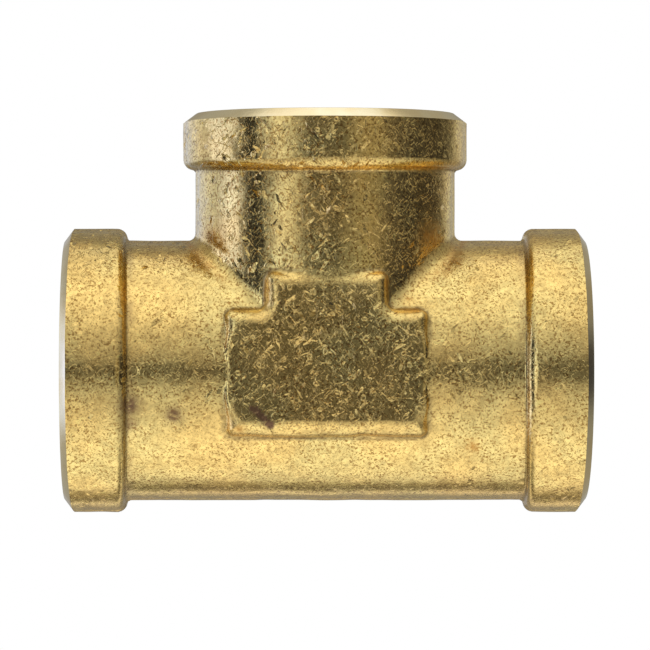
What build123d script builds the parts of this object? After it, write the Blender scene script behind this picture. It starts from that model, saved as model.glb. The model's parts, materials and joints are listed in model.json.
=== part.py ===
"""Forged brass pipe tee with three female 1/2-14 NPT ports.

The run lies along X, the branch rises along +Z, and the origin is where their axes cross. All
sizes are in millimetres.

The real tee is one hot forging that is faced, chamfered, drilled and tapped, so it is one solid
here too. The forging is made first: run, branch, wrench pads and trimmed flash. The machining
follows, in the order of the real operations. The tapped walls are left at the tap drill's size,
which is where the crests of the finished thread lie.
"""

from build123d import *
import os

# Forging
TUBE_R = 13.15
COLLAR_R = 14.38
RUN_COLLAR = 6.25
BRANCH_COLLAR = 5.75
SHOULDER = 0.35
SHOULDER_TOP_R = 0.75
SHOULDER_FOOT_R = 0.25
CROTCH_R = 1.0
STOCK = 0.5  # left on each port end for facing

# Trimmed flash along the parting plane, Y = 0
FLASH_HEIGHT = 0.18
FLASH_HALF_THICKNESS = 0.9

# T-shaped wrench pad, one on each side of the forging
PAD_FACE = 13.25
PAD_DEPTH = 6.0
PAD_BAR_HALF = 10.15
PAD_BAR_TOP = 6.2
PAD_BAR_BOTTOM = -6.55
PAD_STEM_HALF = 6.1
PAD_STEM_TOP = 10.05
PAD_EDGE_R = 1.2
PAD_OUTER_CORNER_R = 1.0
PAD_INNER_CORNER_R = 0.8

# Machining
RUN_HALF = 26.7
BRANCH_END = 26.35
CHAMFER_RADIAL = 1.2
CHAMFER_AXIAL = 0.9
COUNTERSINK_R = 11.1
DRILL_R = 9.13  # 23/32 in tap drill for 1/2-14 NPT
DRILL_DEPTH = 16.5
PASSAGE_R = 8.5
OVERSHOOT = 3.0  # how far a cutter runs past the forging

NEAR = 0.01  # tolerance for picking vertices and edges


def collared_tube(end, collar):
    """Half outline of a tube from its centre to one end, as (along, radial) points."""
    return [
        (0, 0),
        (0, TUBE_R),
        (end - collar - SHOULDER, TUBE_R),
        (end - collar, COLLAR_R),
        (end + STOCK, COLLAR_R),
        (end + STOCK, 0),
    ]


def turn(port, outline):
    """Cut away an outline turned about a port's axis, given as (radial, outward) points."""
    section = Plane(port.origin, x_dir=port.x_dir, z_dir=port.x_dir.cross(port.z_dir))
    with BuildSketch(section) as profile:
        with BuildLine():
            Polyline(*outline, close=True)
        make_face()
    revolve(profile.sketch, axis=Axis(port.origin, port.z_dir), mode=Mode.SUBTRACT)


def face_and_chamfer(port):
    """Face a port end and chamfer its rim."""
    face_r = COLLAR_R - CHAMFER_RADIAL
    cone_drop = OVERSHOOT * CHAMFER_AXIAL / CHAMFER_RADIAL
    turn(
        port,
        [
            (0, 0),
            (face_r, 0),
            (face_r + OVERSHOOT, -cone_drop),
            (face_r + OVERSHOOT, OVERSHOOT),
            (0, OVERSHOOT),
        ],
    )


def drill_port(port, centre_to_end):
    """Countersink and tap-drill a port, then carry the flow passage on to the tee's centre."""
    turn(
        port,
        [
            (0, OVERSHOOT),
            (COUNTERSINK_R + OVERSHOOT, OVERSHOOT),
            (DRILL_R, DRILL_R - COUNTERSINK_R),
            (DRILL_R, -DRILL_DEPTH),
            (PASSAGE_R, PASSAGE_R - DRILL_R - DRILL_DEPTH),
            (PASSAGE_R, -centre_to_end),
            (0, -centre_to_end),
        ],
    )


parting = Plane(origin=(0, 0, 0), x_dir=(1, 0, 0), z_dir=(0, -1, 0))
run_left = Plane(origin=(-RUN_HALF, 0, 0), x_dir=(0, 0, 1), z_dir=(-1, 0, 0))
run_right = Plane(origin=(RUN_HALF, 0, 0), x_dir=(0, 0, 1), z_dir=(1, 0, 0))
branch = Plane(origin=(0, 0, BRANCH_END), x_dir=(1, 0, 0), z_dir=(0, 0, 1))

# A wrench pad: a T with rounded corners and front edges, deep enough to root in the body.
with BuildPart() as pad:
    with BuildSketch(parting.offset(PAD_FACE)) as pad_outline:
        with Locations((0, (PAD_BAR_TOP + PAD_BAR_BOTTOM) / 2)):
            Rectangle(2 * PAD_BAR_HALF, PAD_BAR_TOP - PAD_BAR_BOTTOM)
        with Locations((0, PAD_STEM_TOP / 2)):
            Rectangle(2 * PAD_STEM_HALF, PAD_STEM_TOP)
        corners = pad_outline.vertices()
        inner = corners.filter_by(
            lambda v: abs(abs(v.X) - PAD_STEM_HALF) < NEAR and abs(v.Y - PAD_BAR_TOP) < NEAR
        )
        outer = [corner for corner in corners if corner not in inner]
        fillet(outer, radius=PAD_OUTER_CORNER_R)
        inner = pad_outline.vertices().filter_by(
            lambda v: abs(abs(v.X) - PAD_STEM_HALF) < NEAR and abs(v.Y - PAD_BAR_TOP) < NEAR
        )
        fillet(inner, radius=PAD_INNER_CORNER_R)
    extrude(amount=-PAD_DEPTH)
    fillet(pad.faces().sort_by(Axis.Y)[0].edges(), radius=PAD_EDGE_R)

with BuildPart() as tee_body:
    # Forged run, with a raised collar at each end.
    with BuildSketch(parting) as run_outline:
        with BuildLine():
            Polyline(*collared_tube(RUN_HALF, RUN_COLLAR), close=True)
        make_face()
        mirror(about=Plane.YZ)
    revolve(axis=Axis.X)

    # Forged branch, with the same tube and a shorter collar.
    with BuildSketch(parting) as branch_outline:
        with BuildLine():
            upright = [(r, along) for along, r in collared_tube(BRANCH_END, BRANCH_COLLAR)]
            Polyline(*upright, close=True)
        make_face()
    revolve(axis=Axis.Z)

    # Wrench pads, front and back.
    add(pad.part)
    mirror(pad.part, about=Plane.XZ)

    # Forged blends: the crotch on each side of the branch, then the collar shoulders.
    fillet(tee_body.edges().filter_by(GeomType.ELLIPSE), radius=CROTCH_R)
    rings = tee_body.edges().filter_by(GeomType.CIRCLE).filter_by(lambda e: e.length > COLLAR_R)
    collar_rings = rings.filter_by(lambda e: abs(e.radius - COLLAR_R) < NEAR)
    inner_collar_rings = collar_rings.filter_by(
        lambda e: abs(e.center().X) < RUN_HALF - NEAR and e.center().Z < BRANCH_END - NEAR
    )
    fillet(inner_collar_rings, radius=SHOULDER_TOP_R)
    rings = tee_body.edges().filter_by(GeomType.CIRCLE).filter_by(lambda e: e.length > COLLAR_R)
    fillet(rings.filter_by(lambda e: abs(e.radius - TUBE_R) < NEAR), radius=SHOULDER_FOOT_R)

    # Trimmed flash: a low ridge that follows the whole outline on the parting plane.
    with BuildSketch(parting) as flash_outline:
        add(run_outline.sketch_local)
        mirror(run_outline.sketch_local, about=Plane.XZ)
        add(branch_outline.sketch_local)
        mirror(branch_outline.sketch_local, about=Plane.YZ)
        crotches = flash_outline.vertices().filter_by(
            lambda v: abs(abs(v.X) - TUBE_R) < NEAR and abs(v.Y - TUBE_R) < NEAR
        )
        fillet(crotches, radius=CROTCH_R)
        offset(amount=FLASH_HEIGHT)
    extrude(amount=FLASH_HALF_THICKNESS, both=True)

    # Machining.
    for port in (run_left, run_right, branch):
        face_and_chamfer(port)
    drill_port(run_left, RUN_HALF)
    drill_port(run_right, RUN_HALF)
    drill_port(branch, BRANCH_END)

os.makedirs("parts", exist_ok=True)
tee_body.part.label = "tee_body"
export_step(tee_body.part, "parts/tee_body.step")
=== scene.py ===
"""Looks for the forged brass tee: forging skin, machined ends, cut threads, brass and light.

Shapes are worked out in millimetres in the CAD frame and written to Blender in metres.
The body is made the way the real one is: a forging skin is meshed from a distance field,
given its hammered relief, and then faced, chamfered, drilled and threaded with boolean cuts.

A pair of numbers that goes to smooth_step or to a span is where a soft edge starts and ends.
"""

import json
import math

import bmesh
import bpy
import numpy as np
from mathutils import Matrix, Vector


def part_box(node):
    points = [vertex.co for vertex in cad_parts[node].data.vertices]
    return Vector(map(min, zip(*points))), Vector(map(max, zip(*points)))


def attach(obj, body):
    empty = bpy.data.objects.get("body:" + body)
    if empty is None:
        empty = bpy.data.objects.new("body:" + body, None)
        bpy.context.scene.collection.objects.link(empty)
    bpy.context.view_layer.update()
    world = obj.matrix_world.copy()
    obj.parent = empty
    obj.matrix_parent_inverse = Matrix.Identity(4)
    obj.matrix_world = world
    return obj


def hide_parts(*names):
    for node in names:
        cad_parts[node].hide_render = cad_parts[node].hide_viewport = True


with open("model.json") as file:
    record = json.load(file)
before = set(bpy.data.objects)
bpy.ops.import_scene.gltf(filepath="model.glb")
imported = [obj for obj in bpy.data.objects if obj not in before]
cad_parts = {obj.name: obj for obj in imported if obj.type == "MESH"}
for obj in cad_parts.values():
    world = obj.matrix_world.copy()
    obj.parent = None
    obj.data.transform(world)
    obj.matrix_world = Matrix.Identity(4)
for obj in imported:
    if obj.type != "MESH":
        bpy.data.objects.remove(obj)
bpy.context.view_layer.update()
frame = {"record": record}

MM = 0.001  # metres in a millimetre
mounts = {m["name"]: m for m in frame["record"]["mounts"]}
_, box_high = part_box("tee_body")

# Forging, in mm
RUN_HALF = box_high.x / MM
BRANCH_END = box_high.z / MM
TUBE_R = 13.15
COLLAR_R = 14.38
RUN_COLLAR = 6.0  # on the parting plane; longer by COLLAR_BOW front and back
BRANCH_COLLAR = 5.4
COLLAR_BOW = 0.47
SHOULDER = 0.35
SHOULDER_TOP_R = 0.55  # on the parting plane; more by SHOULDER_TOP_BOW front and back
SHOULDER_TOP_BOW = 0.45
SHOULDER_FOOT_R = 0.25
RUN_COLLAR_BACK = 0.3  # the run collars sit this far behind the bored axis
CROTCH_SIDE_R = 0.9
CROTCH_FRONT_R = 2.6
CROTCH_OPENS = (2.0, 11.0)  # distance from the parting plane over which the crotch widens
STOCK = 0.5  # left on each end for facing
NEAR_AXIS = 1.0  # keeps directions about an axis finite on the axis itself

# T-shaped wrench pads, front and back, in mm
PAD_FACE = abs(mounts["front_pad"]["pos_m"][1]) / MM
PAD_BAR_HALF = 10.15
PAD_BAR_TOP = 6.2
PAD_BAR_BOTTOM = -6.55
PAD_STEM_HALF = 6.1
PAD_STEM_TOP = 10.05
PAD_CORNER_R = 0.9
PAD_INNER_CORNER_R = 0.8
PAD_FLUSH = (5.2, 2.5)  # height within which the pad hardly stands proud of the run
PAD_EDGE_R = 1.35
PAD_EDGE_EASE = 0.9  # taken off the edge's radius where the pad is flush
PAD_BOTTOM_EDGE_MORE = 0.65
PAD_BOTTOM = (3.0, 6.5)  # depth below the run's axis over which the edge grows rounder
PAD_FOOT_R = 0.3
PAD_FOOT_EASE = 0.2  # taken off the foot's radius where the pad is flush
PAD_ROOT = 7.5
PAD_STEM_DROP = 0.14  # the stem's top runs out into the branch
PAD_STEM_DROP_HEIGHT = (6.5, 10.0)
PAD_STEM_DROP_HALF = 2.8
PAD_WANDER = 0.12
PAD_WANDER_SIZE = 1.9

# Trimmed flash on the parting plane, in mm
FLASH_HEIGHT = 0.18
FLASH_SPREAD = 1.3

# Machining, in mm
PORT_R = mounts["branch_port"]["dims"]["r_mm"]
PASSAGE_R = mounts["run_passage"]["dims"]["r_mm"]
PORT_DEPTH = 16.5
COUNTERSINK_R = 11.1
RIM_R = 13.18
RIM_EDGE_R = 0.12
CHAMFER_SLOPE = 0.75
DRILL_POINT = 5.0
CUTTER_PAST = 2  # how far a cutter reaches past the forging

# 1/2-14 NPT thread, in mm
PITCH = 25.4 / 14
THREAD_ROOT_R = 10.61
THREAD_TAPER = 1 / 32
THREAD_END = 13.6
THREAD_FADE = 2.4  # length of the run-out
THREAD_FADE_RISE = 1.6
THREAD_FADE_POWER = 1.5
THREAD_ROOT_FLAT = 0.05
THREAD_FLANK = math.tan(math.radians(30))
THREAD_HEIGHT = 1.48
THREAD_BACK = 2.2  # the groove's cutter reaches this far into the bore
THREAD_BACK_HALF = 0.3

# Mesh
SKIN_STEP = 0.31  # spacing on the skin, in mm
NET_PAST_ENDS = 1.2  # how far the grid reaches past the forging, in mm
NET_PAST_SIDES = 0.6
NET_PAST_BOTTOM = 0.8
RELAX_ROUNDS = 6
RELAX_BLEND = 0.5
LAST_PULLS = 3  # times a point is pulled onto the surface in the last round
LEAST_SLOPE2 = 0.2
LEAST_SINE2 = 1e-4
FIELD_REACH = 0.02  # half the span of the field's differences, in mm
NORMAL_REACH = 0.05
LATHE_SEGMENTS = 160
THREAD_STEPS = 96  # per turn
WELD = 2e-7  # metres; edges shorter than this are slivers left by the cuts
SHARP_BETWEEN = math.radians(12)  # between two finishes
SHARP_WITHIN = math.radians(28)  # within one machined finish

# Relief of the forged skin, in mm
WAVE_HEIGHT = 0.026
WAVE_SIZE = 3.4
LUMP_HEIGHT = 0.013
LUMP_SIZE = 1.5
BASIN_DEPTH = 0.045
BASIN_SIZE = 2.1
BASIN_LEVEL = 0.35  # noise above this level is a basin
DENTS = 70
DENT_R = (0.5, 1.3)
DENT_DEPTH = (0.015, 0.05)

# Noise
SEED = 11
NOISE_VALUES = 4096
NOISE_LAYER_GAP = 37.0
NOISE_HASH = (73856093, 19349663, 83492791)
WANDER_X, WANDER_Z, WAVES, LUMPS, BASINS, BLOTCHES, PATCHES = range(1, 8)  # layers

# Flakes chopped into the skin: shares from 0 to 1, places in mm
BRANCH_BEGINS = (9.0, 12.5)  # height
RUN_FLAKES = 0.22
RUN_BLOTCH = 0.12
BRANCH_FLAKES = 0.62  # on top of the run's
BRANCH_BLOTCH = 0.2
BLOTCH_SIZE = 5.0
PAD_FLAKES = 0.85  # of the branch's
PAD_FLAKES_FROM = -0.5  # distance from the pad's outline, with what is added where it is flush
PAD_FLAKES_FROM_FLUSH = 0.4
PAD_FLAKES_FULL = -2.2
PAD_FLAKES_FULL_FLUSH = 1.5
PAD_DEPTH = (10.5, 12.5)  # distance from the parting plane
BRANCH_CALM_SIDE = (1.0, 7.0)  # the branch's right is worn smoother
CALM_LOSS = 0.7
# Painted highlight along the crotch fillet: fewer flakes there lighten the colour, as chopped skin is
# darker, and smooth the fillet too
FILLET_HALF = 0.8
FILLET_BEGINS = (5.0, 7.0)
FILLET_HIGHLIGHT_LOSS = 0.8

# Softer shine on the pad's bevels and the branch's calm side
BEVEL_INNER = (-1.6, -1.0)
BEVEL_OUTER = (0.4, 0.1)
PAD_SIDE = 9  # anything nearer the parting plane is not the pad
CALM_SOFTNESS = 0.7

# Tarnish and stains, with painted shade in the crotch and in the corners: strengths from 0 to 1,
# places in mm
PATCH_SIZE = 3.0
PATCH_EDGE = (-0.5, 0.6)
# Painted shade: a brown strip on the run's side of the crotch, where the surface reflects darker
CROTCH_SHADE = 0.7
CROTCH_LINE = -1.0  # run radius less branch radius
CROTCH_LINE_HALF = 0.5
CROTCH_BEGINS = (8.0, 10.5)
CROTCH_DEPTH = (TUBE_R + 1.6, TUBE_R + 0.8)
BRANCH_TARNISH = 0.12
BRANCH_TARNISH_LEAST = 0.2  # share left between the patches
BRANCH_TARNISH_BELOW = 0.5
BRANCH_TARNISH_HALF = 0.5
# Brown spots; the two at x 13.0 and 12.0 are painted shade on the run's side of the crotch
TARNISH_AND_SHADE_SPOTS = [  # x, z, radius, strength
    (10.4, 13.8, 1.5, 0.7),
    (8.2, 7.3, 0.7, 0.6),
    (-11.5, 13.8, 1.1, 0.5),
    (-12.8, 11.8, 0.9, 0.4),
    (-8.75, -5.75, 0.45, 1.0),
    (14.6, -7.55, 0.7, 1.0),
    # painted shade in the crotch
    (13.0, 11.8, 1.1, 0.75),
    (12.0, 10.3, 0.8, 0.6),
    (-15.3, -4.25, 0.35, 0.8),
]
STAIN_SPOTS = [
    (-19.7, -3.35, 1.1, 0.9),
    (-19.6, -5.25, 0.8, 0.6),
    (-15.3, -4.35, 0.8, 0.9),
]
STREAK = ((-7.3, -3.65), (-5.6, -5.3))  # x, z of the ends of a slug mark on the front pad
STREAK_R = 0.42
STREAK_EDGE = 0.15
# A patchy darker line on the run just before each collar's foot
COLLAR_DARK_LINE = 0.35
COLLAR_DARK_LINE_BEFORE = 0.4
COLLAR_DARK_LINE_HALF = 0.35
# Painted shade in the corners: at the run collars' feet, under the branch collar and round the pads
COLLAR_SHADE = 0.5
COLLAR_SHADE_PAST = 0.08
COLLAR_SHADE_HALF = 0.22
BRANCH_SHADE = 0.65
BRANCH_SHADE_BELOW = 0.12
BRANCH_SHADE_HALF = 0.14
RUN_TOP = 13.5  # above this height a run collar's marks stop
PAD_SHADE = 0.7
PAD_SHADE_OUTSIDE = 0.16
PAD_SHADE_HALF = 0.15
PAD_SHADE_DEPTH = (13.1, 12.6)
BRANCH_ONLY = 15  # above this height a face is the branch's

# Brass
SKIN_WARM = (0.99, 0.69, 0.235, 1)
SKIN_GREEN = (0.92, 0.71, 0.265, 1)
MACHINED_PALE = (1.0, 0.90, 0.63, 1)
MACHINED_DEEP = (0.96, 0.80, 0.48, 1)
THREAD_DARK = (0.62, 0.45, 0.19, 1)
# Painted shade tint for the skin's hollows, pits and scratches
HOLLOW_SHADE = (0.36, 0.20, 0.05, 1)
# Tarnish brown, also used as painted shade in the crotch
TARNISH_AND_SHADE = (0.58, 0.31, 0.08, 1)
# Painted shade tint for the corners
CORNER_SHADE = (0.13, 0.085, 0.045, 1)
STAIN = (0.21, 0.12, 0.065, 1)
GREY = (0.5, 0.5, 0.5)  # the middle of a noise's colour

# Fine relief in the brass's bump, in mm
SWIRL_SIZE = 1.6
SWIRL = 0.8  # how far the swirl drags the chips and scratches about
CHIP_LOT = 7.31  # turns a cell's random colour into another random number
CHIP_SOFTNESS = 0.15
RING_HEIGHT = 0.04
RING_R = 0.2
RING_HALF = 0.08
SCRATCH_DEPTH = 0.055
SCRATCH_END = 0.08  # softness of a scratch's ends
GRAIN_SIZE = 0.24
GRAIN_HEIGHT = 0.012
GRAIN_HEIGHT_CHOPPED = 0.006
RIPPLE_SIZE = 0.9
RIPPLE_HEIGHT = 0.02
TOOL_LINE_HEIGHT = 0.006
TOOL_LINES_PER_MM = 9.0
MACHINED_GRAIN = 0.004
THREAD_GRAIN = 0.008

# Studio, in metres and in shares of full white
FLOOR_Z = -0.4
FLOOR_HALF = 1.5
CAMERA_LENS = 230.0  # mm
CAMERA_SENSOR = 36.0  # mm
CAMERA_NEAR = 0.01
CAMERA_FAR = 10
CAMERA_PLACE = (-0.0057, -0.427, 0.00466)
CAMERA_TARGET = (0.0, 0.0, 0.00466)
LIGHT_SCALE = 1.9
FRONT_LIGHT = [  # height of the direction, and brightness, on the camera's side
    (-1.0, 1.12),
    (-0.97, 1.20),
    (-0.875, 1.18),
    (-0.72, 0.92),
    (-0.515, 0.74),
    (-0.375, 0.66),
    (-0.20, 0.42),
    (-0.09, 0.22),
    (0.0, 0.10),
    (0.09, 0.21),
    (0.20, 0.36),
    (0.39, 0.55),
    (0.53, 0.68),
    (0.656, 0.88),
    (0.83, 1.12),
    (0.95, 1.18),
    (1.0, 1.12),
]
BACK_LIGHT = [  # the same behind the part
    (-1.0, 1.12),
    (-0.95, 1.05),
    (-0.90, 0.80),
    (-0.85, 0.42),
    (-0.77, 0.20),
    (-0.70, 0.22),
    (-0.64, 0.70),
    (-0.59, 1.10),
    (-0.53, 0.60),
    (-0.45, 0.34),
    (-0.2, 0.30),
    (0.0, 0.26),
    (0.47, 0.35),
    (0.74, 0.38),
    (0.79, 0.52),
    (0.835, 0.86),
    (0.88, 1.00),
    (0.93, 1.12),
    (1.0, 1.12),
]
WHITE = (1, 1, 1)
BACK_TINT = (1.0, 0.93, 0.76)
TINT_REACH = 0.86  # heights beyond this, up or down, stay white
EYE_LEVEL = [  # degrees from the camera's side, positive to the right, and colour
    (-180, (0.40, 0.42, 0.48)),
    (-160, (0.76, 0.82, 0.98)),
    (-138, (1.00, 1.06, 1.28)),
    (-122, (0.88, 0.94, 1.14)),
    (-114, (0.60, 0.64, 0.78)),
    (-106, (1.12, 1.22, 1.85)),
    (-97, (1.33, 1.48, 2.35)),
    (-85, (1.20, 1.30, 1.95)),
    (-79, (0.40, 0.43, 0.55)),
    (-72, (0.04, 0.045, 0.06)),
    (-59, (0.04, 0.045, 0.06)),
    (-50, (0.60, 0.66, 0.80)),
    (-40, (1.15, 1.25, 1.45)),
    (-28, (0.76, 0.82, 0.90)),
    (-16, (0.20, 0.21, 0.23)),
    (-6, (0.11, 0.115, 0.12)),
    (10, (0.13, 0.13, 0.13)),
    (22, (0.29, 0.28, 0.25)),
    (36, (0.37, 0.35, 0.28)),
    (48, (0.25, 0.24, 0.20)),
    (57, (0.065, 0.063, 0.07)),
    (84, (0.035, 0.035, 0.042)),
    (120, (0.05, 0.048, 0.05)),
    (130, (0.22, 0.215, 0.19)),
    (140, (0.78, 0.79, 0.70)),
    (155, (0.50, 0.50, 0.46)),
    (180, (0.40, 0.42, 0.48)),
]
# Directions are unit vectors; these are parts of them along x, y or z
BEHIND = (-0.5, 0.5)
RIGHT_SIDE = (0.45, 0.9)
RIGHT_DIM = 0.75
BAND_LEFT = (-0.6, -0.25)  # the eye-level band is tall to the left and low elsewhere
BAND_TALL = 0.30
BAND_LOW = 0.08
BAND_BEHIND = (0.3, 0.5)
BAND_BEHIND_SHARE = 0.4
BAND_EDGE = 0.22
BAND_ASIDE = (0.05, 0.25)


# ---------------------------------------------------------------- noise and soft edges

RANDOM = np.random.default_rng(SEED)
NOISE_TABLE = RANDOM.uniform(-1, 1, NOISE_VALUES)


def noise(p, size, layer):
    """Smooth value noise between -1 and 1, at points (n, 3) in mm, with lumps of the given size."""
    q = p / size + NOISE_LAYER_GAP * (layer + 1)
    cell = np.floor(q).astype(np.int64)
    t = q - cell
    t = t * t * (3 - 2 * t)
    total = np.zeros(len(p))
    for corner in np.ndindex(2, 2, 2):
        key = np.zeros(len(p), np.int64)
        weight = np.ones(len(p))
        for axis in range(3):
            key ^= (cell[:, axis] + corner[axis]) * NOISE_HASH[axis]
            weight = weight * (t[:, axis] if corner[axis] else 1 - t[:, axis])
        total += weight * NOISE_TABLE[key % NOISE_VALUES]
    return total


def smooth_step(start, end, value):
    """0 up to start and 1 from end on, with a soft rise between; start may be above end."""
    t = np.clip((value - start) / (end - start), 0, 1)
    return t * t * (3 - 2 * t)


def bell(value, centre, width):
    """A smooth bump of height 1 about centre."""
    return np.exp(-(((value - centre) / width) ** 2))


# ---------------------------------------------------------------- distance field of the forging


def round_union(a, b, r):
    """Union of two distance fields, with a fillet of radius r in the corner."""
    corner = np.hypot(np.maximum(r - a, 0), np.maximum(r - b, 0))
    return np.maximum(r, np.minimum(a, b)) - corner


def crease_union(a, b, r, cosine):
    """The same fillet where the surfaces meet at any angle, given the cosine between normals."""
    sine2 = np.maximum(1 - cosine**2, LEAST_SINE2)
    da, db = r - a, r - b
    away = np.sqrt(np.maximum(da**2 + db**2 - 2 * da * db * cosine, 0) / sine2)
    in_corner = (da > db * cosine) & (db > da * cosine)
    return np.where(in_corner, np.minimum(r - away, np.minimum(a, b)), np.minimum(a, b))


def round_cut(a, b, r):
    """Intersection of two distance fields, with the edge rounded to radius r."""
    corner = np.hypot(np.maximum(r + a, 0), np.maximum(r + b, 0))
    return np.minimum(-r, np.maximum(a, b)) + corner


def forward_share(y, radial):
    """How far a place is turned from the parting plane: 0 on it, 1 at the front and back."""
    return (y / np.maximum(radial, NEAR_AXIS)) ** 2


def collar_foot(end, collar, forward):
    """Where a collar's shoulder meets the tube, measured along the tube."""
    return end - collar - SHOULDER - COLLAR_BOW * forward


def collared_tube(along, radial, collar_radial, end, collar, forward):
    """A round bar with a raised collar at its end and a steep shoulder behind it.

    The die has more draft at the front and back, so the collar is longer there and its edge
    rounder.
    """
    rise = COLLAR_R - TUBE_R
    slant = math.hypot(rise, SHOULDER)
    foot = collar_foot(end, collar, forward)
    shoulder = ((collar_radial - TUBE_R) * SHOULDER - (along - foot) * rise) / slant
    edge_r = SHOULDER_TOP_R + SHOULDER_TOP_BOW * forward
    raised = round_cut(collar_radial - COLLAR_R, shoulder, edge_r)
    bar = round_union(radial - TUBE_R, raised, SHOULDER_FOOT_R)
    return np.maximum(bar, along - end - STOCK)


def pad_outline(x, z):
    """Distance to the T outline of the wrench pad."""

    def rectangle(half_width, bottom, top):
        qx = np.abs(x) - half_width + PAD_CORNER_R
        qz = np.abs(z - (bottom + top) / 2) - (top - bottom) / 2 + PAD_CORNER_R
        outside = np.hypot(np.maximum(qx, 0), np.maximum(qz, 0))
        return outside + np.minimum(np.maximum(qx, qz), 0) - PAD_CORNER_R

    bar = rectangle(PAD_BAR_HALF, PAD_BAR_BOTTOM, PAD_BAR_TOP)
    stem = rectangle(PAD_STEM_HALF, 0.0, PAD_STEM_TOP)
    return round_union(bar, stem, PAD_INNER_CORNER_R)


def wrench_pad(p):
    """Distance to the front and back pads, with edges that wander as a die's do."""
    x, y, z = p[:, 0], p[:, 1], p[:, 2]
    edge_r = PAD_EDGE_R + PAD_BOTTOM_EDGE_MORE * smooth_step(*PAD_BOTTOM, -z)
    edge_r -= PAD_EDGE_EASE * smooth_step(*PAD_FLUSH, np.abs(z))
    wander_x = PAD_WANDER * noise(p, PAD_WANDER_SIZE, WANDER_X)
    wander_z = PAD_WANDER * noise(p, PAD_WANDER_SIZE, WANDER_Z)
    drop = PAD_STEM_DROP * smooth_step(*PAD_STEM_DROP_HEIGHT, z) * bell(x, 0.0, PAD_STEM_DROP_HALF)
    face = PAD_FACE - drop
    pad = round_cut(pad_outline(x + wander_x, z + wander_z), np.abs(y) - face, edge_r)
    return np.maximum(pad, PAD_ROOT - np.abs(y))


def forging(p):
    """Signed distance, in mm, from points (n, 3) to the forging's outer skin."""
    x, y, z = p[:, 0], p[:, 1], p[:, 2]
    run_r, branch_r = np.hypot(y, z), np.hypot(x, y)
    run_collar_r = np.hypot(y - RUN_COLLAR_BACK, z)
    run_forward = forward_share(y, run_r)
    branch_forward = forward_share(y, branch_r)
    run = collared_tube(np.abs(x), run_r, run_collar_r, RUN_HALF, RUN_COLLAR, run_forward)
    branch = collared_tube(z, branch_r, branch_r, BRANCH_END, BRANCH_COLLAR, branch_forward)
    branch = np.maximum(branch, -z)
    toward_front = smooth_step(*CROTCH_OPENS, np.abs(y))
    crotch_r = CROTCH_SIDE_R + (CROTCH_FRONT_R - CROTCH_SIDE_R) * toward_front
    cosine = y**2 / np.maximum(run_r * branch_r, NEAR_AXIS)
    body = crease_union(run, branch, crotch_r, cosine)
    foot_r = PAD_FOOT_R - PAD_FOOT_EASE * smooth_step(*PAD_FLUSH, np.abs(z))
    body = round_union(body, wrench_pad(p), foot_r)
    flash = FLASH_HEIGHT * np.exp(-((np.abs(y) / FLASH_SPREAD) ** 3))
    return body - flash


def gradient(p, field, reach):
    """Central-difference gradient of a field at points (n, 3)."""
    g = np.empty_like(p)
    for axis in range(3):
        step = np.zeros(3)
        step[axis] = reach
        g[:, axis] = (field(p + step) - field(p - step)) / (2 * reach)
    return g


def unit(vectors):
    """The same directions, each with length 1."""
    return vectors / np.linalg.norm(vectors, axis=1)[:, None]


# ---------------------------------------------------------------- the skin's mesh


def sample_field(low, counts, step):
    """The forging's field on a regular grid, worked out one sheet at a time."""
    axes = [low[i] + step * np.arange(counts[i]) for i in range(3)]
    grid = np.empty(counts, np.float32)
    yy, zz = np.meshgrid(axes[1], axes[2], indexing="ij")
    for i, x in enumerate(axes[0]):
        sheet = np.column_stack([np.full(yy.size, x), yy.ravel(), zz.ravel()])
        grid[i] = forging(sheet).reshape(yy.shape)
    return grid


def crossed_edges(grid, axis):
    """The grid edges along an axis: which cross the surface, which start inside, and where."""
    a = [slice(None)] * 3
    b = [slice(None)] * 3
    a[axis] = slice(0, -1)
    b[axis] = slice(1, None)
    a, b = tuple(a), tuple(b)
    starts_inside = grid[a] < 0
    crossed = starts_inside != (grid[b] < 0)
    where = np.zeros(crossed.shape, np.float32)
    np.divide(grid[a], grid[a] - grid[b], out=where, where=crossed)
    return crossed, starts_inside, where


def cells_beside(shape, axis):
    """The four shifts that lay the grid edges along an axis over the cells that share them."""
    cuts = []
    for shifts in np.ndindex(2, 2):
        cut = [slice(None)] * 3
        for other, shift in zip([k for k in range(3) if k != axis], shifts):
            cut[other] = slice(shift, shape[other] - 1 + shift)
        cuts.append(tuple(cut))
    return cuts


def net_quads(number, axis, crossed, starts_inside):
    """A quad round every crossed edge of an axis, through the four cells that share it."""
    first, second = [k for k in range(3) if k != axis]
    edges = np.argwhere(crossed)
    ring = []
    for back_first, back_second in ((1, 1), (0, 1), (0, 0), (1, 0)):
        cell = edges.copy()
        cell[:, first] -= back_first
        cell[:, second] -= back_second
        ring.append(number[tuple(cell.T)])
    quads = np.column_stack(ring)
    inside = starts_inside[crossed]
    flip = inside if axis == 1 else ~inside
    quads[flip] = quads[flip][:, ::-1]
    return quads


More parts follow.
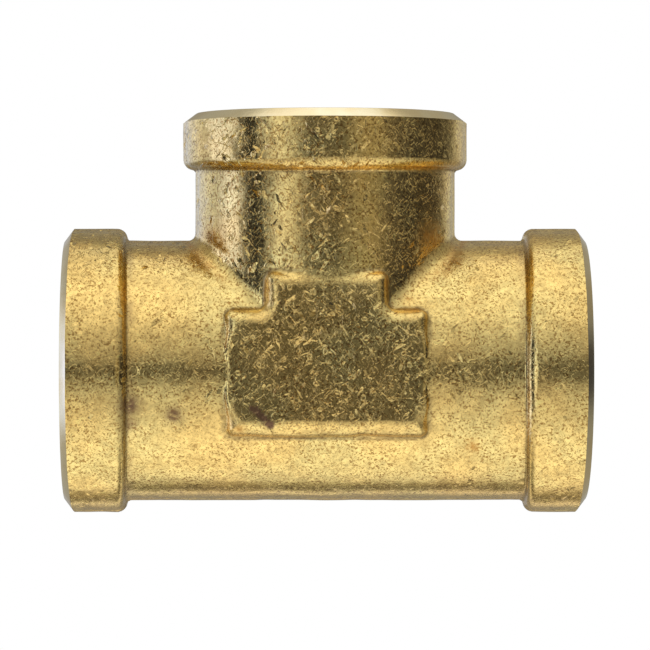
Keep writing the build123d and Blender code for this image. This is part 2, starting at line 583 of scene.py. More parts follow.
def surface_net(step):
    """Points and quads on the zero level of the forging's field, from a grid of samples."""
    low = np.array(
        [-RUN_HALF - NET_PAST_ENDS, -COLLAR_R - NET_PAST_SIDES, -COLLAR_R - NET_PAST_BOTTOM]
    )
    high = np.array(
        [RUN_HALF + NET_PAST_ENDS, COLLAR_R + NET_PAST_SIDES, BRANCH_END + NET_PAST_ENDS]
    )
    counts = np.ceil((high - low) / step).astype(int) + 1
    grid = sample_field(low, counts, step)
    cells = tuple(counts - 1)
    total = np.zeros(cells + (3,), np.float32)
    hits = np.zeros(cells, np.float32)
    crossings = []
    for axis in range(3):
        crossed, starts_inside, where = crossed_edges(grid, axis)
        crossings.append((crossed, starts_inside))
        point = np.stack(np.indices(crossed.shape, dtype=np.float32), axis=-1)
        point[..., axis] += where
        point *= crossed[..., None]
        for cut in cells_beside(crossed.shape, axis):
            total += point[cut]
            hits += crossed[cut]
    used = hits > 0
    number = np.full(cells, -1, np.int64)
    number[used] = np.arange(used.sum())
    points = total[used] / hits[used][:, None] * step + low
    quads = [net_quads(number, axis, *crossings[axis]) for axis in range(3)]
    return points.astype(float), np.vstack(quads)


def relax(points, quads):
    """Even out the mesh along the surface while pulling every point back onto it."""
    a = quads.ravel()
    b = np.roll(quads, -1, axis=1).ravel()
    ends, starts = np.concatenate([a, b]), np.concatenate([b, a])
    valence = np.bincount(starts, minlength=len(points))[:, None]
    for turn in range(RELAX_ROUNDS):
        mean = np.column_stack(
            [np.bincount(starts, points[ends, i], len(points)) for i in range(3)]
        )
        points = (1 - RELAX_BLEND) * points + RELAX_BLEND * mean / valence
        for _ in range(LAST_PULLS if turn == RELAX_ROUNDS - 1 else 1):
            slope = gradient(points, forging, FIELD_REACH)
            distance = forging(points)
            points -= slope * (distance / np.maximum((slope * slope).sum(1), LEAST_SLOPE2))[:, None]
    return points


def scatter_dents(points):
    """Random dents on the skin, as places, radii and depths."""
    centres = points[RANDOM.choice(len(points), DENTS, replace=False)]
    radii = RANDOM.uniform(*DENT_R, DENTS)
    depths = RANDOM.uniform(*DENT_DEPTH, DENTS)
    return centres, radii, depths


def relief(p, dents):
    """Height in mm of the hammered relief at points on the skin: waves, lumps, basins, dents."""
    height = WAVE_HEIGHT * noise(p, WAVE_SIZE, WAVES) + LUMP_HEIGHT * noise(p, LUMP_SIZE, LUMPS)
    height -= BASIN_DEPTH * np.maximum(noise(p, BASIN_SIZE, BASINS) - BASIN_LEVEL, 0)
    reach = dents[1].max()
    for centre, radius, depth in zip(*dents):
        near = np.abs(p - centre).max(axis=1) < reach
        away = np.linalg.norm(p[near] - centre, axis=1) / radius
        height[near] -= depth * (1 - smooth_step(0.0, 1.0, away))
    return height


# ---------------------------------------------------------------- meshes


def mesh_object(name, points, faces, material):
    """A closed mesh from points in mm, linked to the scene, with one material."""
    sizes = np.array([len(face) for face in faces], np.int32)
    corners = np.concatenate([np.asarray(face, np.int32) for face in faces])
    mesh = bpy.data.meshes.new(name)
    mesh.vertices.add(len(points))
    mesh.vertices.foreach_set("co", (np.asarray(points) * MM).astype(np.float32).ravel())
    mesh.loops.add(len(corners))
    mesh.loops.foreach_set("vertex_index", corners)
    mesh.polygons.add(len(sizes))
    mesh.polygons.foreach_set("loop_start", (np.cumsum(sizes) - sizes).astype(np.int32))
    mesh.update(calc_edges=True)
    mesh.materials.append(material)
    bm = bmesh.new()
    bm.from_mesh(mesh)
    if bm.calc_volume(signed=True) < 0:
        bmesh.ops.reverse_faces(bm, faces=bm.faces)
    bm.to_mesh(mesh)
    bm.free()
    obj = bpy.data.objects.new(name, mesh)
    bpy.context.scene.collection.objects.link(obj)
    return obj


def port_frame(port):
    """Unit vectors (outward, u, v) of a port, right-handed."""
    if port == "branch":
        return np.array([0, 0, 1.0]), np.array([1.0, 0, 0]), np.array([0, 1.0, 0])
    side = 1.0 if port == "right" else -1.0
    return np.array([side, 0, 0]), np.array([0, side, 0]), np.array([0, 0, 1.0])


def lathe(name, port, profile, material):
    """A solid turned about a port's axis; its (radius, along) profile starts and ends at radius 0."""
    outward, u, v = port_frame(port)
    turn = np.arange(LATHE_SEGMENTS) * 2 * math.pi / LATHE_SEGMENTS
    spokes = np.outer(np.cos(turn), u) + np.outer(np.sin(turn), v)
    points = [outward * profile[0][1], outward * profile[-1][1]]
    poles = len(points)
    for radius, along in profile[1:-1]:
        points.extend(outward * along + radius * spokes)
    rings = len(profile) - 2
    last = poles + (rings - 1) * LATHE_SEGMENTS
    faces = []
    for i in range(LATHE_SEGMENTS):
        j = (i + 1) % LATHE_SEGMENTS
        faces.append((0, poles + j, poles + i))
        for ring in range(rings - 1):
            a = poles + ring * LATHE_SEGMENTS
            b = a + LATHE_SEGMENTS
            faces.append((a + i, a + j, b + j, b + i))
        faces.append((1, last + i, last + j))
    return mesh_object(name, np.array(points), faces, material)


def arc(centre, radius, start, end, steps=4):
    """(radius, along) points of a small edge rounding, angles in degrees from the radial way."""
    angles = np.radians(np.linspace(start, end, steps))
    return [(centre[0] + radius * math.cos(a), centre[1] + radius * math.sin(a)) for a in angles]


def port_profile(end):
    """What is cut away at one port, from outside inwards to the passage, as (radius, along)."""
    wide = COLLAR_R + CUTTER_PAST
    flare = math.degrees(math.atan(CHAMFER_SLOPE))
    outer = (RIM_R, end - RIM_EDGE_R)
    inner = (COUNTERSINK_R, end - RIM_EDGE_R)
    chamfer = arc(outer, RIM_EDGE_R, 90 - flare, 90)
    sink = arc(inner, RIM_EDGE_R, 90, 135)
    reach = wide - chamfer[0][0]
    mouth = end - (COUNTERSINK_R - PORT_R)
    shelf = end - PORT_DEPTH
    return [
        (0, end + CUTTER_PAST),
        (wide, end + CUTTER_PAST),
        (wide, chamfer[0][1] - CHAMFER_SLOPE * reach),
        *chamfer,
        *sink,
        (PORT_R, mouth),
        (PORT_R, shelf),
        (PASSAGE_R, shelf - (PORT_R - PASSAGE_R)),
    ]


def thread_groove(port, end, material):
    """The helical groove a pipe tap leaves in one port, as a capped sweep of its V section."""
    outward, u, v = port_frame(port)
    turns = (THREAD_END + THREAD_FADE + PITCH) / PITCH
    theta = np.arange(0, turns * 2 * math.pi, 2 * math.pi / THREAD_STEPS)
    depth = theta * PITCH / (2 * math.pi) - PITCH
    fade = np.maximum(depth - THREAD_END, 0) / THREAD_FADE
    root = THREAD_ROOT_R - THREAD_TAPER * depth - THREAD_FADE_RISE * fade**THREAD_FADE_POWER
    mouth = THREAD_ROOT_FLAT + THREAD_HEIGHT * THREAD_FLANK
    section = [
        (0.0, -THREAD_ROOT_FLAT),
        (0.0, THREAD_ROOT_FLAT),
        (THREAD_HEIGHT, mouth),
        (THREAD_BACK, THREAD_BACK_HALF),
        (THREAD_BACK, -THREAD_BACK_HALF),
        (THREAD_HEIGHT, -mouth),
    ]
    spokes = np.outer(np.cos(theta), u) - np.outer(np.sin(theta), v)
    rows = []
    for below, offset in section:
        rows.append(outward * (end - depth - offset)[:, None] + spokes * (root - below)[:, None])
    points = np.stack(rows, axis=1).reshape(-1, 3)
    size = len(section)
    faces = [tuple(range(size))[::-1]]
    for n in range(len(theta) - 1):
        for k in range(size):
            k2 = (k + 1) % size
            a, b = n * size, (n + 1) * size
            faces.append((a + k, a + k2, b + k2, b + k))
    faces.append(tuple((len(theta) - 1) * size + k for k in range(size)))
    return mesh_object(f"groove_{port}", points, faces, material)


def cut(body, tool):
    """Takes tool away from body; the new faces keep the tool's material."""
    step = body.modifiers.new(tool.name, "BOOLEAN")
    step.object = tool
    step.operation = "DIFFERENCE"
    step.solver = "MANIFOLD"
    step.material_mode = "TRANSFER"
    graph = bpy.context.evaluated_depsgraph_get()
    result = bpy.data.meshes.new_from_object(body.evaluated_get(graph))
    body.modifiers.clear()
    body.data = result
    bpy.data.objects.remove(tool)


def vertex_points(mesh):
    """The mesh's vertices as an (n, 3) array in mm."""
    points = np.empty(len(mesh.vertices) * 3, np.float32)
    mesh.vertices.foreach_get("co", points)
    return points.reshape(-1, 3).astype(float) / MM


def shade_smooth(mesh, skin):
    """Drops slivers, and shades smooth with crisp machined edges; skin is the skin's slot."""
    bm = bmesh.new()
    bm.from_mesh(mesh)
    bmesh.ops.dissolve_degenerate(bm, dist=WELD, edges=bm.edges)
    for face in bm.faces:
        face.smooth = True
    for edge in bm.edges:
        a, b = edge.link_faces
        if a.material_index != b.material_index:
            edge.smooth = edge.calc_face_angle(0) < SHARP_BETWEEN
        elif a.material_index != skin:
            edge.smooth = edge.calc_face_angle(0) < SHARP_WITHIN
    bm.to_mesh(mesh)
    bm.free()


def bend_normals(mesh, skin, dents):
    """Gives the skin the exact normals of its field and relief, and leaves the rest as it is."""
    points = vertex_points(mesh)
    corner = np.empty(len(mesh.loops), np.int32)
    mesh.loops.foreach_get("vertex_index", corner)
    sizes = np.empty(len(mesh.polygons), np.int32)
    mesh.polygons.foreach_get("loop_total", sizes)
    slots = np.empty(len(mesh.polygons), np.int32)
    mesh.polygons.foreach_get("material_index", slots)
    on_skin = np.repeat(slots == skin, sizes)
    used = np.unique(corner[on_skin])
    normals = np.zeros((len(points), 3))
    normals[used] = unit(
        gradient(points[used], lambda p: forging(p) - relief(p, dents), NORMAL_REACH)
    )
    per_corner = np.where(on_skin[:, None], normals[corner], 0.0)
    mesh.normals_split_custom_set(per_corner.tolist())


# ---------------------------------------------------------------- where the finish and the painted light and shade change


class Places:
    """Points on the tee in mm, with the distances by which the finish is placed."""

    def __init__(self, p):
        self.p = p
        self.x, self.y, self.z = p[:, 0], p[:, 1], p[:, 2]
        self.run_r = np.hypot(self.y, self.z)
        self.branch_r = np.hypot(self.x, self.y)
        self.outline = pad_outline(self.x, self.z)
        self.depth = np.abs(self.y)
        self.flush = smooth_step(*PAD_FLUSH, np.abs(self.z))
        self.in_branch = smooth_step(*BRANCH_BEGINS, self.z)
        self.calm = self.in_branch * smooth_step(*BRANCH_CALM_SIDE, self.x) * (self.y < 0)
        self.run_foot = collar_foot(RUN_HALF, RUN_COLLAR, forward_share(self.y, self.run_r))
        self.branch_foot = collar_foot(
            BRANCH_END, BRANCH_COLLAR, forward_share(self.y, self.branch_r)
        )
        self.patchy = smooth_step(*PATCH_EDGE, noise(p, PATCH_SIZE, PATCHES))


def flakes(at):
    """How far the skin is chopped up: lightly on the run, fully on the branch and the pads."""
    start = PAD_FLAKES_FROM + PAD_FLAKES_FROM_FLUSH * at.flush
    full = PAD_FLAKES_FULL + PAD_FLAKES_FULL_FLUSH * at.flush
    in_pad = smooth_step(start, full, at.outline) * smooth_step(*PAD_DEPTH, at.depth)
    blotch = noise(at.p, BLOTCH_SIZE, BLOTCHES)
    more = (BRANCH_FLAKES + BRANCH_BLOTCH * blotch) * np.maximum(at.in_branch, PAD_FLAKES * in_pad)
    amount = RUN_FLAKES + RUN_BLOTCH * blotch + more
    amount *= 1 - CALM_LOSS * at.calm
    # Painted highlight: fewer flakes along the crotch fillet lighten its colour
    fillet = bell(at.run_r - at.branch_r, 0.0, FILLET_HALF) * (at.outline > 0)
    amount *= 1 - FILLET_HIGHLIGHT_LOSS * fillet * smooth_step(*FILLET_BEGINS, at.z)
    return np.clip(amount, 0, 1)


def softness(at):
    """Where the shine is softer: on the pads' bevels and on the branch's calm side."""
    bevel = smooth_step(*BEVEL_INNER, at.outline) * smooth_step(*BEVEL_OUTER, at.outline)
    bevel *= at.depth > PAD_SIDE
    return np.maximum(bevel * (1 - at.flush), CALM_SOFTNESS * at.calm)


def spots(at, places):
    """Soft round marks on the front of the skin: (x, z, radius, strength), largest wins."""
    mark = np.zeros(len(at.p))
    for x, z, radius, strength in places:
        away = np.hypot(at.x - x, at.z - z) / radius
        mark = np.maximum(mark, strength * np.exp(-(away**2)) * (at.y < 0))
    return mark


def streak(at, ends, radius):
    """A short straight mark on the front of the skin between two (x, z) ends."""
    a, b = np.array(ends[0]), np.array(ends[1])
    across = at.p[:, [0, 2]] - a
    along = np.clip(across @ (b - a) / ((b - a) @ (b - a)), 0, 1)
    away = np.linalg.norm(across - along[:, None] * (b - a), axis=1)
    return smooth_step(radius + STREAK_EDGE, radius - STREAK_EDGE, away) * (at.y < 0)


def tarnish_and_shade(at):
    """Brown bloom under the branch's collar and in a few spots, with painted shade as a brown strip
    along the crotch and in two of the spots.
    """
    # Painted shade: a brown strip on the run's side of the crotch, where it reflects darker
    crotch = bell(at.run_r - at.branch_r, CROTCH_LINE, CROTCH_LINE_HALF)
    crotch *= smooth_step(*CROTCH_BEGINS, at.z)
    crotch *= smooth_step(*CROTCH_DEPTH, np.minimum(at.run_r, at.branch_r))
    under_collar = bell(at.z, at.branch_foot - BRANCH_TARNISH_BELOW, BRANCH_TARNISH_HALF)
    under_collar *= at.branch_r < COLLAR_R
    under_collar *= BRANCH_TARNISH_LEAST + (1 - BRANCH_TARNISH_LEAST) * at.patchy
    amount = CROTCH_SHADE * crotch + BRANCH_TARNISH * under_collar
    return np.clip(np.maximum(amount, spots(at, TARNISH_AND_SHADE_SPOTS)), 0, 1)


def stain(at):
    """Dark spots, the slug mark on the pad, and a patchy line before each run collar."""
    line = bell(np.abs(at.x), at.run_foot - COLLAR_DARK_LINE_BEFORE, COLLAR_DARK_LINE_HALF)
    line *= COLLAR_DARK_LINE * at.patchy * (at.z < RUN_TOP)
    marks = np.maximum(spots(at, STAIN_SPOTS), streak(at, STREAK, STREAK_R))
    return np.clip(np.maximum(marks, line), 0, 1)


def corner_shade(at):
    """Painted shade: dark lines in the corners, at the collars' feet and round the pads."""
    run_line = bell(np.abs(at.x), at.run_foot + COLLAR_SHADE_PAST, COLLAR_SHADE_HALF)
    run_line *= COLLAR_SHADE * (at.z < RUN_TOP)
    pad_line = bell(at.outline, PAD_SHADE_OUTSIDE, PAD_SHADE_HALF)
    pad_line *= PAD_SHADE * smooth_step(*PAD_SHADE_DEPTH, at.depth) * (at.depth > PAD_SIDE)
    branch_line = bell(at.z, at.branch_foot - BRANCH_SHADE_BELOW, BRANCH_SHADE_HALF)
    branch_line *= BRANCH_SHADE * (at.branch_r < COLLAR_R)
    return np.clip(np.maximum(np.maximum(run_line, pad_line), branch_line), 0, 1)


def tool_path(at):
    """Distance travelled by the tool that faced and bored each port, so its lines follow it."""
    at_branch = at.z > BRANCH_ONLY
    radius = np.where(at_branch, at.branch_r, at.run_r)
    in_from_end = np.where(at_branch, BRANCH_END - at.z, RUN_HALF - np.abs(at.x))
    return radius - in_from_end


def paint(body):
    """Stores where the finish and the painted light and shade change as vertex attributes, for the
    materials to read.
    """
    at = Places(vertex_points(body.data))
    for name, amount in (
        ("flakes", flakes(at)),
        ("softness", softness(at)),
        ("tarnish_and_shade", tarnish_and_shade(at)),
        ("stain", stain(at)),
        ("corner_shade", corner_shade(at)),
        ("tool_path", tool_path(at)),
    ):
        layer = body.data.attributes.new(name, "FLOAT", "POINT")
        layer.data.foreach_set("value", amount.astype(np.float32))


# ---------------------------------------------------------------- materials


class Graph:
    """A short way to write shader nodes; numbers and sockets can both be given as inputs."""

    def __init__(self, tree):
        self.tree = tree
        tree.nodes.clear()

    def node(self, kind, inputs=(), **settings):
        made = self.tree.nodes.new("ShaderNode" + kind)
        for key, value in settings.items():
            setattr(made, key, value)
        for key, value in dict(inputs).items():
            self.feed(made.inputs[key], value)
        return made

    def feed(self, socket, value):
        if isinstance(value, bpy.types.NodeSocket):
            self.tree.links.new(value, socket)
        else:
            socket.default_value = value

    def math(self, operation, *values, clamp=False):
        made = self.node("Math", operation=operation, use_clamp=clamp)
        for socket, value in zip(made.inputs, values):
            self.feed(socket, value)
        return made.outputs[0]

    def add(self, a, b, clamp=False):
        return self.math("ADD", a, b, clamp=clamp)

    def multiply(self, a, b, clamp=False):
        return self.math("MULTIPLY", a, b, clamp=clamp)

    def vector(self, operation, *values, scale=None):
        made = self.node("VectorMath", operation=operation)
        for socket, value in zip(made.inputs, values):
            self.feed(socket, value)
        if scale is not None:
            self.feed(made.inputs["Scale"], scale)
        return made.outputs["Value" if operation in ("DOT_PRODUCT", "LENGTH") else "Vector"]

    def span(self, value, low, high, to_low=0.0, to_high=1.0):
        """to_low up to low and to_high from high on, with a soft change between."""
        inputs = {
            "Value": value,
            "From Min": low,
            "From Max": high,
            "To Min": to_low,
            "To Max": to_high,
        }
        return self.node("MapRange", inputs, interpolation_type="SMOOTHSTEP").outputs[0]

    def mix(self, factor, a, b):
        """A colour between a and b."""
        made = self.node("Mix", data_type="RGBA")
        self.feed(made.inputs[0], factor)
        self.feed(made.inputs[6], a)
        self.feed(made.inputs[7], b)
        return made.outputs[2]

    def millimetres(self):
        place = self.node("TexCoord").outputs["Object"]
        return self.vector("SCALE", place, scale=1 / MM)

    def lumps(self, place, size, detail=2.0, roughness=0.5, output="Fac"):
        """Cloudy noise with lumps of the given size in mm."""
        inputs = {"Vector": place, "Scale": 1 / size, "Detail": detail, "Roughness": roughness}
        return self.node("TexNoise", inputs).outputs[output]

    def cells(self, place, size):
        """Voronoi cells of the given size in mm."""
        return self.node("TexVoronoi", {"Vector": place, "Scale": 1 / size})

    def attribute(self, name):
        return self.node("Attribute", attribute_name=name).outputs["Fac"]


def brass_material(name, finish):
    """A new metal material; finish(graph) gives its (colour, roughness, height in mm)."""
    material = bpy.data.materials.new(name)
    material.use_nodes = True
    graph = Graph(material.node_tree)
    colour, roughness, height = finish(graph)
    bump = graph.node("Bump", {"Height": height, "Distance": MM, "Strength": 1.0}).outputs[0]
    inputs = {"Base Color": colour, "Roughness": roughness, "Metallic": 1.0, "Normal": bump}
    shader = graph.node("BsdfPrincipled", inputs)
    out = graph.node("OutputMaterial")
    graph.tree.links.new(shader.outputs[0], out.inputs[0])
    return material


def chips(g, place, size, lean_by, share):
    """Height of flat chips: every Voronoi cell in the given share leans its own way."""
    cells = g.cells(place, size)
    lean = g.vector("SUBTRACT", cells.outputs["Color"], GREY)
    apart = g.vector("SUBTRACT", place, cells.outputs["Position"])
    height = g.vector("DOT_PRODUCT", lean, apart)
    green = g.node("SeparateXYZ", {"Vector": cells.outputs["Color"]}).outputs[1]
    lot = g.math("FRACT", g.multiply(green, CHIP_LOT))
    chosen = g.span(lot, 1 - share, 1 - share + CHIP_SOFTNESS)
    return g.multiply(height, g.multiply(chosen, lean_by))


def slanted(g, place, degrees, stretch):
    """The same place turned in the picture plane and squeezed, so cells come out as slivers."""
    inputs = {"Vector": place, "Axis": (0, 1, 0), "Angle": math.radians(degrees)}
    turned = g.node("VectorRotate", inputs).outputs[0]
    return g.vector("MULTIPLY", turned, (stretch, 1.0, 1.0))


def scratches(g, place, size, width, gap_size, gap_level):
    """Thin curved lines along one level of a noise, broken up by a second noise."""
    level = g.math("ABSOLUTE", g.math("SUBTRACT", g.lumps(place, size, detail=0.0), 0.5))
    line = g.span(level, 0.0, width, 1.0, 0.0)
    gaps = g.lumps(place, gap_size, detail=0.0)
    return g.multiply(line, g.span(gaps, gap_level, gap_level + SCRATCH_END))


def chopped_relief(g, place):
    """What the hammer and the slugs leave: the height in mm, and where the scratches run."""
    swirl = g.vector("SUBTRACT", g.lumps(place, SWIRL_SIZE, detail=1.0, output="Color"), GREY)
    warped = g.vector("ADD", place, g.vector("SCALE", swirl, scale=SWIRL))

    # Chopped flakes, leaning and slanted both ways
    one_way = slanted(g, warped, 35, stretch=3.6)
    other_way = slanted(g, warped, -40, stretch=3.6)
    left = chips(g, one_way, size=0.95, lean_by=0.75, share=0.15)
    right = chips(g, other_way, size=1.05, lean_by=0.75, share=0.15)
    patches = g.span(g.lumps(place, 1.5, detail=1.0), 0.44, 0.56)
    height = g.node("Mix", {"Factor": patches, 2: left, 3: right}, data_type="FLOAT").outputs[0]
    height = g.add(height, chips(g, warped, size=0.55, lean_by=0.07, share=0.35))

    # Small craters with a raised rim
    bowls = g.cells(warped, 1.1)
    off_ring = g.math("ABSOLUTE", g.math("SUBTRACT", bowls.outputs["Distance"], RING_R))
    ring = g.span(off_ring, 0.0, RING_HALF, 1.0, 0.0)
    chosen = g.span(bowls.outputs["Color"], 0.68, 0.72)
    height = g.add(height, g.multiply(g.multiply(ring, chosen), RING_HEIGHT))

    # Thin curved scratches
    long_cuts = scratches(g, warped, size=1.7, width=0.016, gap_size=0.9, gap_level=0.50)
    short_cuts = scratches(g, other_way, size=1.3, width=0.035, gap_size=0.6, gap_level=0.52)
    bent_cuts = scratches(g, one_way, size=1.0, width=0.035, gap_size=0.5, gap_level=0.52)
    cuts = g.add(long_cuts, g.add(short_cuts, bent_cuts), clamp=True)
    return g.math("SUBTRACT", height, g.multiply(cuts, SCRATCH_DEPTH)), cuts


def skin_colour(g, place, chopped, grain, cuts):
    """Warm and green drifts in the brass, darker where it is chopped, with painted shade in the
    hollows, pits and scratches, brown as light bounced twice in brass.
    """
    colour = g.mix(g.span(g.lumps(place, 7.0), 0.35, 0.65), SKIN_WARM, SKIN_GREEN)
    broad = g.span(g.lumps(place, 1.8, detail=3.0), 0.3, 0.7, 0.84, 1.04)
    colour = g.vector("SCALE", colour, scale=broad)
    mottled = g.span(g.lumps(place, 0.5, detail=1.0), 0.3, 0.7, 0.86, 1.08)
    colour = g.vector("SCALE", colour, scale=mottled)
    colour = g.vector("SCALE", colour, scale=g.span(chopped, 0.1, 1.0, 1.02, 0.80))
    # Painted shade: the grain's hollows, small pits and the scratches on chopped skin are darkened
    # toward brown
    hollows = g.span(grain, 0.35, 0.50, 0.95, 0.0)
    hollows = g.multiply(hollows, g.span(g.lumps(place, 3.5), 0.3, 0.6, 0.45, 1.0))
    pits = g.span(g.cells(place, 1.2).outputs["Distance"], 0.07, 0.15, 0.8, 0.0)
    pits = g.multiply(pits, g.span(g.lumps(place, 2.6, detail=1.0), 0.46, 0.56))
    under_cut = g.multiply(g.multiply(cuts, chopped), 0.15)
    return g.mix(g.math("MAXIMUM", hollows, g.math("MAXIMUM", pits, under_cut)), colour, HOLLOW_SHADE)


def forged_skin(g):
    """The shot-blast, hammered skin of the forging."""
    place = g.millimetres()
    chopped = g.attribute("flakes")
    height, cuts = chopped_relief(g, place)
    height = g.multiply(height, chopped)
    inputs = {"Vector": place, "Scale": 1 / GRAIN_SIZE, "Detail": 1.5, "Roughness": 0.6}
    inputs["Distortion"] = 0.4
    grain = g.node("TexNoise", inputs).outputs["Fac"]
    grain_height = g.span(chopped, 0.3, 0.9, GRAIN_HEIGHT, GRAIN_HEIGHT_CHOPPED)
    height = g.add(height, g.multiply(grain, grain_height))
    height = g.add(height, g.multiply(g.lumps(place, RIPPLE_SIZE), RIPPLE_HEIGHT))

    colour = skin_colour(g, place, chopped, grain, cuts)
    rough = g.math("MULTIPLY_ADD", g.lumps(place, 2.2, detail=3.0), 0.11, 0.09)
    rough = g.math("MULTIPLY_ADD", g.attribute("softness"), 0.12, rough)
    speckle = g.lumps(place, 0.7, detail=2.5, roughness=0.6)
    # Tarnish, painted shade in the crotch and in the corners, and stains: each darkens the colour and
    # dulls the shine
    for name, tint, speckles in (
        ("tarnish_and_shade", TARNISH_AND_SHADE, g.span(speckle, 0.36, 0.6, 0.45, 1.0)),
        ("corner_shade", CORNER_SHADE, g.span(speckle, 0.32, 0.5, 0.35, 1.0)),
        ("stain", STAIN, g.span(speckle, 0.3, 0.55, 0.5, 1.2)),
    ):
        amount = g.multiply(g.attribute(name), speckles, clamp=True)
        colour = g.mix(amount, colour, tint)
        rough = g.math("MULTIPLY_ADD", amount, 0.2, rough)
    return colour, rough, height


def machined(g):
    """Faced, chamfered and bored brass, with the tool's fine turned lines."""
    place = g.millimetres()
    path = g.attribute("tool_path")
    inputs = {"W": path, "Scale": TOOL_LINES_PER_MM, "Detail": 3.0, "Roughness": 0.7}
    lines = g.node("TexNoise", inputs, noise_dimensions="1D").outputs["Fac"]
    grain = g.multiply(g.lumps(place, 0.35), MACHINED_GRAIN)
    height = g.add(g.multiply(lines, TOOL_LINE_HEIGHT), grain)
    colour = g.mix(g.span(g.lumps(place, 4.0), 0.35, 0.65), MACHINED_PALE, MACHINED_DEEP)
    rough = g.math("MULTIPLY_ADD", g.lumps(place, 1.2), 0.12, 0.10)
    return colour, rough, height


def thread_cut(g):
    """The tapped grooves: duller and a little darker."""
    place = g.millimetres()
    height = g.multiply(g.lumps(place, 0.22), THREAD_GRAIN)
    colour = g.mix(g.span(g.lumps(place, 3.0), 0.35, 0.65), MACHINED_DEEP, THREAD_DARK)
    rough = g.math("MULTIPLY_ADD", g.lumps(place, 0.9), 0.15, 0.22)
    return colour, rough, height


# ---------------------------------------------------------------- the tee


def build_tee():
    """The whole tee: forging, machining, threads, shading and finish."""
    skin = brass_material("forged_skin", forged_skin)
    faced = brass_material("machined_brass", machined)
    tapped = brass_material("thread_brass", thread_cut)
    skin_points, skin_quads = surface_net(SKIN_STEP)
    skin_points = relax(skin_points, skin_quads)
    dents = scatter_dents(skin_points)
    outward = unit(gradient(skin_points, forging, FIELD_REACH))
    skin_points = skin_points + outward * relief(skin_points, dents)[:, None]
    tee = mesh_object("brass_tee", skin_points, skin_quads, skin)

    run_profile = port_profile(RUN_HALF)
    run_profile += [(radius, -along) for radius, along in reversed(run_profile)]
    cut(tee, lathe("run_tool", "right", run_profile, faced))
    branch_profile = port_profile(BRANCH_END) + [(PASSAGE_R, 0.0), (0, -DRILL_POINT)]
    cut(tee, lathe("branch_tool", "branch", branch_profile, faced))
    for port, port_end in (("left", RUN_HALF), ("right", RUN_HALF), ("branch", BRANCH_END)):
        cut(tee, thread_groove(port, port_end, tapped))

    skin_slot = tee.data.materials.find(skin.name)
    shade_smooth(tee.data, skin_slot)
    bend_normals(tee.data, skin_slot, dents)
    paint(tee)
    return tee


# ---------------------------------------------------------------- floor, light and camera


def ramp(g, factor, stops):
    """A smooth colour ramp from (position, colour) stops, position between 0 and 1."""
    made = g.node("ValToRGB", {"Fac": factor})
    elements = made.color_ramp.elements
    while len(elements) < len(stops):
        elements.new(0.5)
    for element, (position, light) in zip(elements, stops):
        element.position = position
        element.color = (*(level / LIGHT_SCALE for level in light), 1)
    return made.outputs[0]


def heights(levels, tint=WHITE):
    """Stops for light given against its direction's height, -1 to 1; tint spares the two ends."""
    stops = []
    for height, level in levels:
        colour = tint if abs(height) < TINT_REACH else WHITE
        stops.append(((height + 1) / 2, [level * part for part in colour]))
    return stops


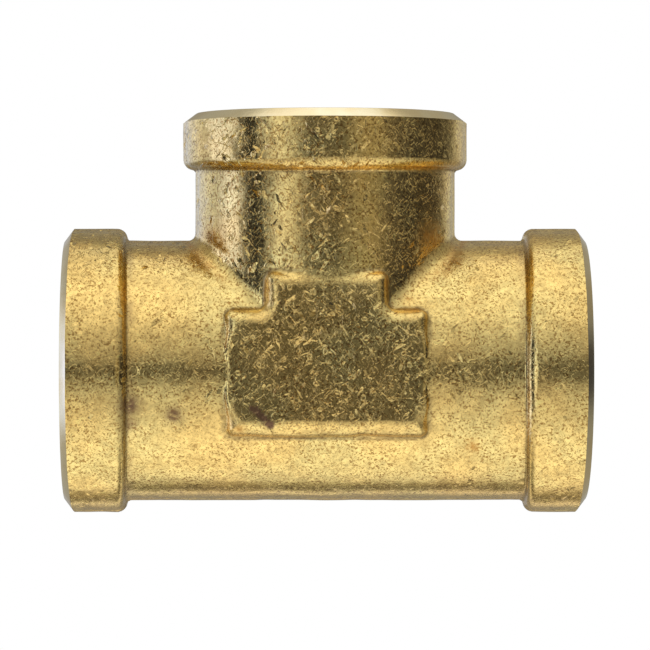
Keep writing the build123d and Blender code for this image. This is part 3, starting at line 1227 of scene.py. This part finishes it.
def surroundings(g, way):
    """The soft boxes all round, as light against direction."""
    x, y, z = g.node("SeparateXYZ", {"Vector": way}).outputs
    height = g.math("MULTIPLY_ADD", z, 0.5, 0.5)
    front = ramp(g, height, heights(FRONT_LIGHT))
    back = ramp(g, height, heights(BACK_LIGHT, BACK_TINT))
    light = g.mix(g.span(y, *BEHIND), front, back)
    light = g.vector("SCALE", light, scale=g.span(x, *RIGHT_SIDE, 1.0, RIGHT_DIM))

    azimuth = g.math("ARCTAN2", x, g.multiply(y, -1.0))
    turn = g.math("MULTIPLY_ADD", azimuth, 1 / (2 * math.pi), 0.5)
    band = ramp(g, turn, [(degrees / 360 + 0.5, colour) for degrees, colour in EYE_LEVEL])
    tall = g.span(x, *BAND_LEFT, BAND_TALL, BAND_LOW)
    tall = g.multiply(tall, g.span(y, *BAND_BEHIND, 1.0, BAND_BEHIND_SHARE))
    level = g.span(g.math("ABSOLUTE", z), tall, g.add(tall, BAND_EDGE), 1.0, 0.0)
    aside = g.span(g.math("ABSOLUTE", x), *BAND_ASIDE)
    light = g.mix(g.multiply(level, aside), light, band)

    seen = g.node("LightPath").outputs["Is Camera Ray"]
    white = 1 / LIGHT_SCALE
    return g.mix(seen, light, (white, white, white, 1))


def pale_floor():
    """A pale plain floor under the part; it glows with the light a white table throws up."""
    material = bpy.data.materials.new("pale_floor")
    material.use_nodes = True
    g = Graph(material.node_tree)
    way = g.vector("SCALE", g.node("NewGeometry").outputs["Incoming"], scale=-1.0)
    shader = g.node("Emission", {"Color": surroundings(g, way), "Strength": LIGHT_SCALE})
    out = g.node("OutputMaterial")
    g.tree.links.new(shader.outputs[0], out.inputs[0])
    mesh = bpy.data.meshes.new("floor")
    signs = ((-1, -1), (1, -1), (1, 1), (-1, 1))
    corners = [(x * FLOOR_HALF, y * FLOOR_HALF, FLOOR_Z) for x, y in signs]
    mesh.from_pydata(corners, [], [(0, 1, 2, 3)])
    mesh.materials.append(material)
    floor = bpy.data.objects.new("floor", mesh)
    bpy.context.scene.collection.objects.link(floor)


def studio():
    """The world: soft boxes above and to the sides, plain white to the camera."""
    world = bpy.data.worlds.new("studio")
    bpy.context.scene.world = world
    world.use_nodes = True
    g = Graph(world.node_tree)
    way = g.node("TexCoord").outputs["Generated"]
    background = g.node("Background", {"Color": surroundings(g, way), "Strength": LIGHT_SCALE})
    out = g.node("OutputWorld")
    g.tree.links.new(background.outputs[0], out.inputs[0])


def place_camera():
    """A long lens, nearly level with the tee's middle and a little to its left."""
    camera = bpy.data.cameras.new("camera")
    camera.lens = CAMERA_LENS
    camera.sensor_width = CAMERA_SENSOR
    camera.clip_start = CAMERA_NEAR
    camera.clip_end = CAMERA_FAR
    viewer = bpy.data.objects.new("camera", camera)
    viewer.location = CAMERA_PLACE
    look = Vector(CAMERA_TARGET) - Vector(CAMERA_PLACE)
    viewer.rotation_euler = look.to_track_quat("-Z", "Y").to_euler()
    bpy.context.scene.collection.objects.link(viewer)
    bpy.context.scene.camera = viewer
    bpy.context.scene.view_settings.view_transform = "Standard"


tee = build_tee()
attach(tee, "root")
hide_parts("tee_body")
pale_floor()
studio()
place_camera()
